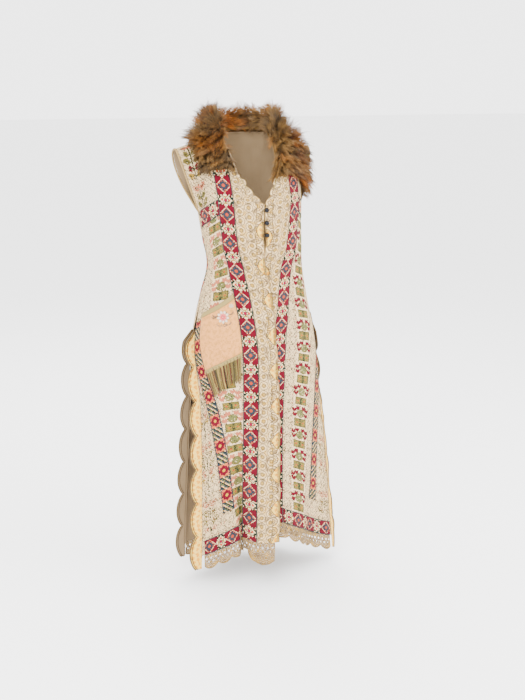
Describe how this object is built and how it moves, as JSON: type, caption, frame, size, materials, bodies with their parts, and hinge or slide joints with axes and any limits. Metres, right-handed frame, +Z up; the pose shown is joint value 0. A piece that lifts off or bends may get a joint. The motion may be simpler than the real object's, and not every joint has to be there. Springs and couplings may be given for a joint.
{
  "type": "embroidered folk vest",
  "caption": "Ankle-length sleeveless patchwork vest with cross-stitched tapes, lace and scalloped borders, a shaggy fur shawl collar, ball buttons and a fringed hip pocket, in its worn form.",
  "frame": {"origin": "middle of the neck at the height of the shoulder seams' inner ends, where the wearer's shoulders hold the vest up", "axes": "+Z up along the standing wearer; -Y is the vest's front; -X is the wearer's right"},
  "size_m": [0.5118, 0.3507, 1.363],
  "materials": {
    "patchwork": "embroidered cotton",
    "cross_stitch": "cross-stitched tape",
    "lace": "crochet lace",
    "print_cloth": "printed cotton",
    "fur": "long-haired fur",
    "brocade": "woven satin",
    "gold_braid": "metallic braid",
    "button_gloss": "polished"
  },
  "bodies": {
    "root": {"front_right": "patchwork", "front_left": "patchwork", "back": "patchwork", "edge_lace_right": "lace", "edge_lace_left": "lace", "edge_print_right": "print_cloth", "edge_print_left": "print_cloth", "tape_front_right": "cross_stitch", "tape_front_left": "cross_stitch", "tape_bust_right": "cross_stitch", "tape_bust_left": "cross_stitch", "tape_skirt_right": "cross_stitch", "tape_skirt_left": "cross_stitch", "tape_hem_right": "cross_stitch", "tape_hem_left": "cross_stitch", "side_border_front_right": "print_cloth", "side_border_front_left": "print_cloth", "side_border_back_right": "print_cloth", "side_border_back_left": "print_cloth", "hem_lace_right": "lace", "hem_lace_left": "lace", "hem_lace_back": "lace", "fur_collar": "fur", "armhole_binding_right": "gold_braid", "armhole_binding_left": "gold_braid", "pocket": "brocade", "pocket_trim": "gold_braid", "pocket_fringe": "gold_braid", "pocket_flower_1": "lace", "pocket_flower_2": "lace", "button_1": "button_gloss", "button_2": "button_gloss", "button_3": "button_gloss"}
  },
  "joints": []
}
